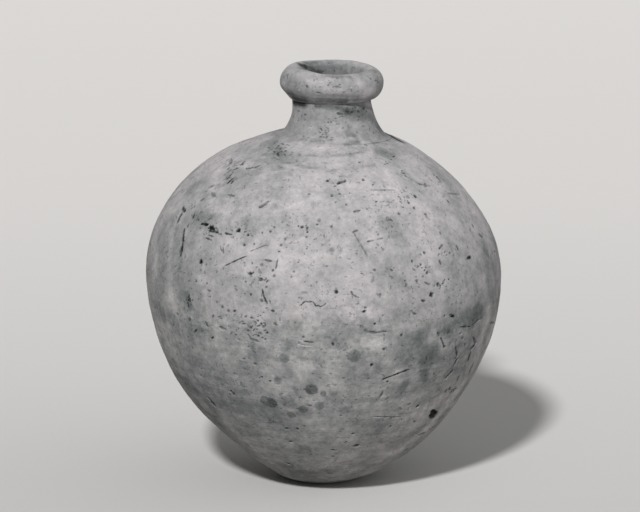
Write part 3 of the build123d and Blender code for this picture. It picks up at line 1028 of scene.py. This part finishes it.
neck_specks = specks_seen(
    neck_clusters, spread=0.5, run=(0.2, 2.0), tilt=0.6, half_widths=(0.55, 0.9), dark=0.4
)
neck_strokes = below_rim(marks_seen(neck_lines, line_edge, shallow_depth) + neck_specks)
smudges_and_painted_shading += marks_seen(neck_smudges_and_painted_shading, soft_edge)
soft_stains_and_shade += marks_seen(neck_stains_and_painted_shade, soft_edge)
divide_near(neck, neck_strokes, shallow_margin)
press(neck, neck_strokes + below_rim(smudges_and_painted_shading), below_rim(soft_stains_and_shade))
neck.data.materials.append(fired_clay)
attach(neck, "root")
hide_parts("neck")

# Rim
# A thick roll of clay round the mouth, pressed down over the neck's tongue and rounded with the fingers.
# Its underside is cut back on the left and full on the right.
rim_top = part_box("rim")[1].z
rim_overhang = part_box("rim")[1].x - neck_axis_x - neck_radius
rim_middle = (rim_base + rim_top) / 2
rim_half_height = (rim_top - rim_base) / 2
socket_radius = tongue_radius + slip_thickness
socket_top = tongue_top + slip_thickness
rim_steps = 300
roll_points = 200
lip_points = 100
rim_skin_step = 0.0003


def rim_arc(half_width, start, stop, count):
    """Part of the oval that rounds the rim, about the middle of its height."""
    turn = np.linspace(start, stop, count)
    return np.column_stack(
        (neck_radius + half_width * np.cos(turn), rim_middle + rim_half_height * np.sin(turn))
    )


rim_roll = rim_arc(rim_overhang, -math.pi / 2, math.pi / 2, roll_points)
rim_lip = rim_arc(neck_wall, math.pi / 2, math.pi, lip_points)
rim_socket = np.array(
    [
        rim_lip[-1],
        (bore_radius, socket_top),
        (socket_radius, socket_top),
        (socket_radius, rim_base),
        rim_roll[0],
    ]
)
rim = throw(
    "rolled_rim",
    rim_steps,
    evenly(rim_roll, rim_skin_step),
    evenly(rim_lip, rim_skin_step),
    rim_socket,
    axis_x=neck_axis_x,
)

left_trim = 0.45
left_base, left_gain = 0.9, 0.8
rim_front_base, rim_front_gain = 0.4, 0.7
front_dip = 0.0008
back_lift = 0.0003
right_dip = 0.0004
right_dip_turn = math.radians(20)
lip_thick = 0.0010
lip_lift = 0.0006
lip_thick_turn = math.radians(-140)
lip_thick_drop = 0.3
lip_radius = neck_radius + 0.001
lip_fade = 0.002
finger_spread = 0.5
roll_start = neck_radius + 0.0003
rim_lumps = (Lumps(0.00022, 0.009, 0.007, 6.3), Lumps(0.00008, 0.003, 0.002, 1.9))

rim_points = points_of(rim)
from_axis = rim_points - (neck_axis_x, 0, 0)
out = out_from(neck_axis_x, rim_points)
lowness = ease((rim_middle - rim_points[:, 2]) / rim_half_height)
leftness = ease(left_base - from_axis[:, 0] / out * left_gain)
beyond = np.maximum(out - neck_radius, 0)
drawn_in = 1 - left_trim * lowness * leftness * beyond / out
rim_points[:, :2] = (neck_axis_x, 0) + from_axis[:, :2] * drawn_in[:, None]
rolled = (rim_points[:, 2] > rim_middle) | (out > roll_start)
rim_points += facings_of(rim) * (unevenness(rim_points, *rim_lumps) * rolled)[:, None]
frontness = ease(rim_front_base - from_axis[:, 1] / out * rim_front_gain)
height_share = ease((rim_points[:, 2] - rim_middle) / rim_half_height)
rim_points[:, 2] += (back_lift * (1 - frontness) - front_dip * frontness) * height_share
thickness = np.exp(-((turned_from(from_axis, lip_thick_turn) / finger_spread) ** 2))
thickness *= ease((rim_points[:, 2] - rim_middle) / rim_half_height + lip_thick_drop)
inner = ease((lip_radius - out) / lip_fade)
rim_points[:, :2] -= from_axis[:, :2] / out[:, None] * (lip_thick * thickness * inner)[:, None]
rim_points[:, 2] += lip_lift * thickness * height_share
dipped = np.exp(-((turned_from(from_axis, right_dip_turn) / finger_spread) ** 2))
rim_points[:, 2] -= right_dip * dipped * height_share
move_points(rim, rim_points)

# Marks and clusters are given as on the neck, and the painted shade under the roll has a clearer edge than
# smudges
rim_lines = (
    (1.1, 0.7, (306.5, 86), (308, 87.5)), (1.0, -0.9, (299, 89), (299.5, 89.5)),
    (0.9, -0.8, (351, 86.5), (351.5, 87)), (1.1, 0.45, (316, 92.8), (320, 93.8)),
    (0.8, 0.35, (286.5, 76), (286.5, 79)), (1.2, 0.25, (336, 87), (341, 87.5)),
)
rim_stains = (
    (4.0, 0.12, (378, 80), (381, 90)), (8.0, 0.24, (290, 84), (300, 90)),
)
# Smudges, with painted shade inside the mouth, on the roll's lower face and under it on the left, and painted
# light under the roll on the right
rim_smudges_and_painted_shading = (
    (3.0, 0.85, (300, 65.6), (305, 67.2)), (4.0, 0.45, (304, 67), (313, 69.2)),
    (3.0, 0.40, (305, 64), (316, 63)), (2.6, 0.22, (316, 62.6), (332, 62.6)),
    (6.0, -0.50, (350, 77), (360, 86)), (2.2, -1.00, (350, 103), (366, 101.4)),
    (2.2, 0.16, (318, 96.4), (342, 97)), (2.0, 0.16, (346, 97.2), (358, 96.8)),
    (4.0, -0.90, (366, 95), (374, 91)), (2.6, -0.60, (309, 100), (313, 101.5)),
    (2.4, 0.42, (313, 70.4), (322, 71.8), (331, 72.2)), (6.0, 0.22, (312, 67), (331, 69.5)),
    (2.4, 0.20, (320, 74.4), (350, 75)), (2.5, 0.12, (310, 77), (324, 77.5)),
    (6.0, 0.10, (298, 86), (314, 93)), (3.4, 0.62, (292, 99.2), (304.5, 101.8)),
)
# Painted shade on the underside of the roll
painted_rim_shade = (
    (3.6, 0.36, (288, 95), (300, 100), (316, 102), (331, 102.5), (346, 102)),
    (3.2, 0.14, (346, 102), (357, 100.8)),
)
rim_clusters = (
    (300, 84, 9, 4, 12), (320, 86, 10, 4, 6), (338, 87, 7, 3, 6), (375, 80, 5, 6, 8), (345, 92, 12, 3, 5),
)
rim_shade_edge = 0.4
rim_specks = specks_seen(
    rim_clusters, spread=0.4, run=(0.2, 1.6), tilt=0.5, half_widths=(0.5, 0.8), dark=0.35
)
rim_strokes = marks_seen(rim_lines, line_edge, shallow_depth) + rim_specks
divide_near(rim, rim_strokes, shallow_margin)
smudges_and_painted_shading = marks_seen(painted_rim_shade, rim_shade_edge) + marks_seen(rim_smudges_and_painted_shading, soft_edge)
press(rim, rim_strokes + smudges_and_painted_shading, marks_seen(rim_stains, soft_edge))
rim.data.materials.append(fired_clay)
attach(rim, "root")
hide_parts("rim")

# Beds of slip
# Thin layers of liquid clay that join bowl, shoulder, neck and rim. They were wiped back from the joints'
# edges, so the solids stay as they are and only take the finish of fine fired slip.
luting_slip, slip_tree, slip_place = start_material("luting slip")
slip_clouds = add_noise(slip_tree, slip_place, lump=0.002, detail=3, roughness=0.5)
slip_colour = add_colours(slip_tree, slip_clouds, (0, (0.28, 0.27, 0.26)), (1, (0.44, 0.43, 0.41)))
slip_bumps = {"relief": slip_clouds, "bump_strength": 0.3, "bump_depth": 0.0001}
end_material(slip_tree, slip_colour, roughness=0.95, shine=0.2, **slip_bumps)
for name in ("body_seam_slip", "neck_seam_slip", "rim_seam_slip"):
    bed = frame["nodes"][name]
    bed.data.materials.clear()
    bed.data.materials.append(luting_slip)

# Floor and light
# A sheet of pale matt paper under a soft lamp that stands in front and a little to the left, with a pale
# surround, brighter on the right, that fills the shadows.
floor_size = 12
paper_bounce = (0.33, 0.32, 0.31, 1)
bpy.ops.object.select_all(action="DESELECT")
bpy.ops.mesh.primitive_plane_add(size=floor_size)
floor = bpy.context.object
floor.name = "floor"


def seen_as_background(tree):
    """1 where the camera looks, straight, by a reflection or through glass, and 0 for light given off."""
    rays = add_node(tree, "LightPath").outputs
    seen = rays["Is Camera Ray"]
    for kind in ("Is Glossy Ray", "Is Transmission Ray"):
        seen = add_maths(tree, "MAXIMUM", seen, rays[kind])
    return seen


paper, paper_tree, paper_place = start_material("pale paper")
paper_grain = add_noise(paper_tree, paper_place, lump=0.0010, detail=3, roughness=0.7)
# Seen from the camera, the paper is darker at the front and paler at the back
paper_back = add_node(paper_tree, "SeparateXYZ", {0: paper_place}).outputs["Y"]
paper_shade = add_steps(paper_tree, paper_back, (-0.1, 1.1), (0, 1), "LINEAR")
paper_seen = add_colours(
    paper_tree,
    vary(paper_tree, paper_shade, paper_grain, strength=0.10),
    (0.00, (0.655, 0.644, 0.633)),
    (0.21, (0.750, 0.731, 0.715)),
    (0.45, (0.824, 0.799, 0.778)),
    (1.00, (0.873, 0.846, 0.824)),
)
paper_mixing = {"Fac": seen_as_background(paper_tree), "Color1": paper_bounce, "Color2": paper_seen}
paper_colour = add_node(paper_tree, "MixRGB", paper_mixing).outputs["Color"]
end_material(paper_tree, paper_colour, roughness=0.95, shine=0.1)
floor.data.materials.append(paper)

lamp_turn = math.radians(-14)
lamp_elevation = math.radians(37.5)
lamp_strength = 2.8
lamp_width = math.radians(5)
lamp_reach = math.cos(lamp_elevation)
from_lamp = Vector(
    (-math.sin(lamp_turn) * lamp_reach, math.cos(lamp_turn) * lamp_reach, -math.sin(lamp_elevation))
)
bpy.ops.object.light_add(type="SUN", rotation=from_lamp.to_track_quat("-Z", "Y").to_euler())
lamp = bpy.context.object
lamp.name = "soft lamp"
lamp.data.energy = lamp_strength
lamp.data.angle = lamp_width

surround_colour = (0.98, 0.99, 1.0, 1)
surround_strengths = (0.02, 0.54)
background_colour = (0.68, 0.66, 0.645, 1)
surround = bpy.data.worlds.new("surround")
bpy.context.scene.world = surround
surround.use_nodes = True
sky_tree = surround.node_tree
sky_tree.nodes.clear()
sky_way = add_node(sky_tree, "TexCoord").outputs["Generated"]
sky_side = add_node(sky_tree, "SeparateXYZ", {0: sky_way}).outputs["X"]
sky_strength = add_steps(sky_tree, sky_side, (-1, 1), surround_strengths, "LINEAR")
sky_light = add_node(sky_tree, "Background", {"Color": surround_colour, "Strength": sky_strength})
sky_seen = add_node(sky_tree, "Background", {"Color": background_colour, "Strength": 1.0})
sky_mixing = {0: seen_as_background(sky_tree), 1: sky_light.outputs[0], 2: sky_seen.outputs[0]}
sky = add_node(sky_tree, "MixShader", sky_mixing)
add_node(sky_tree, "OutputWorld", {"Surface": sky.outputs[0]})
bpy.context.scene.view_settings.view_transform = "Standard"
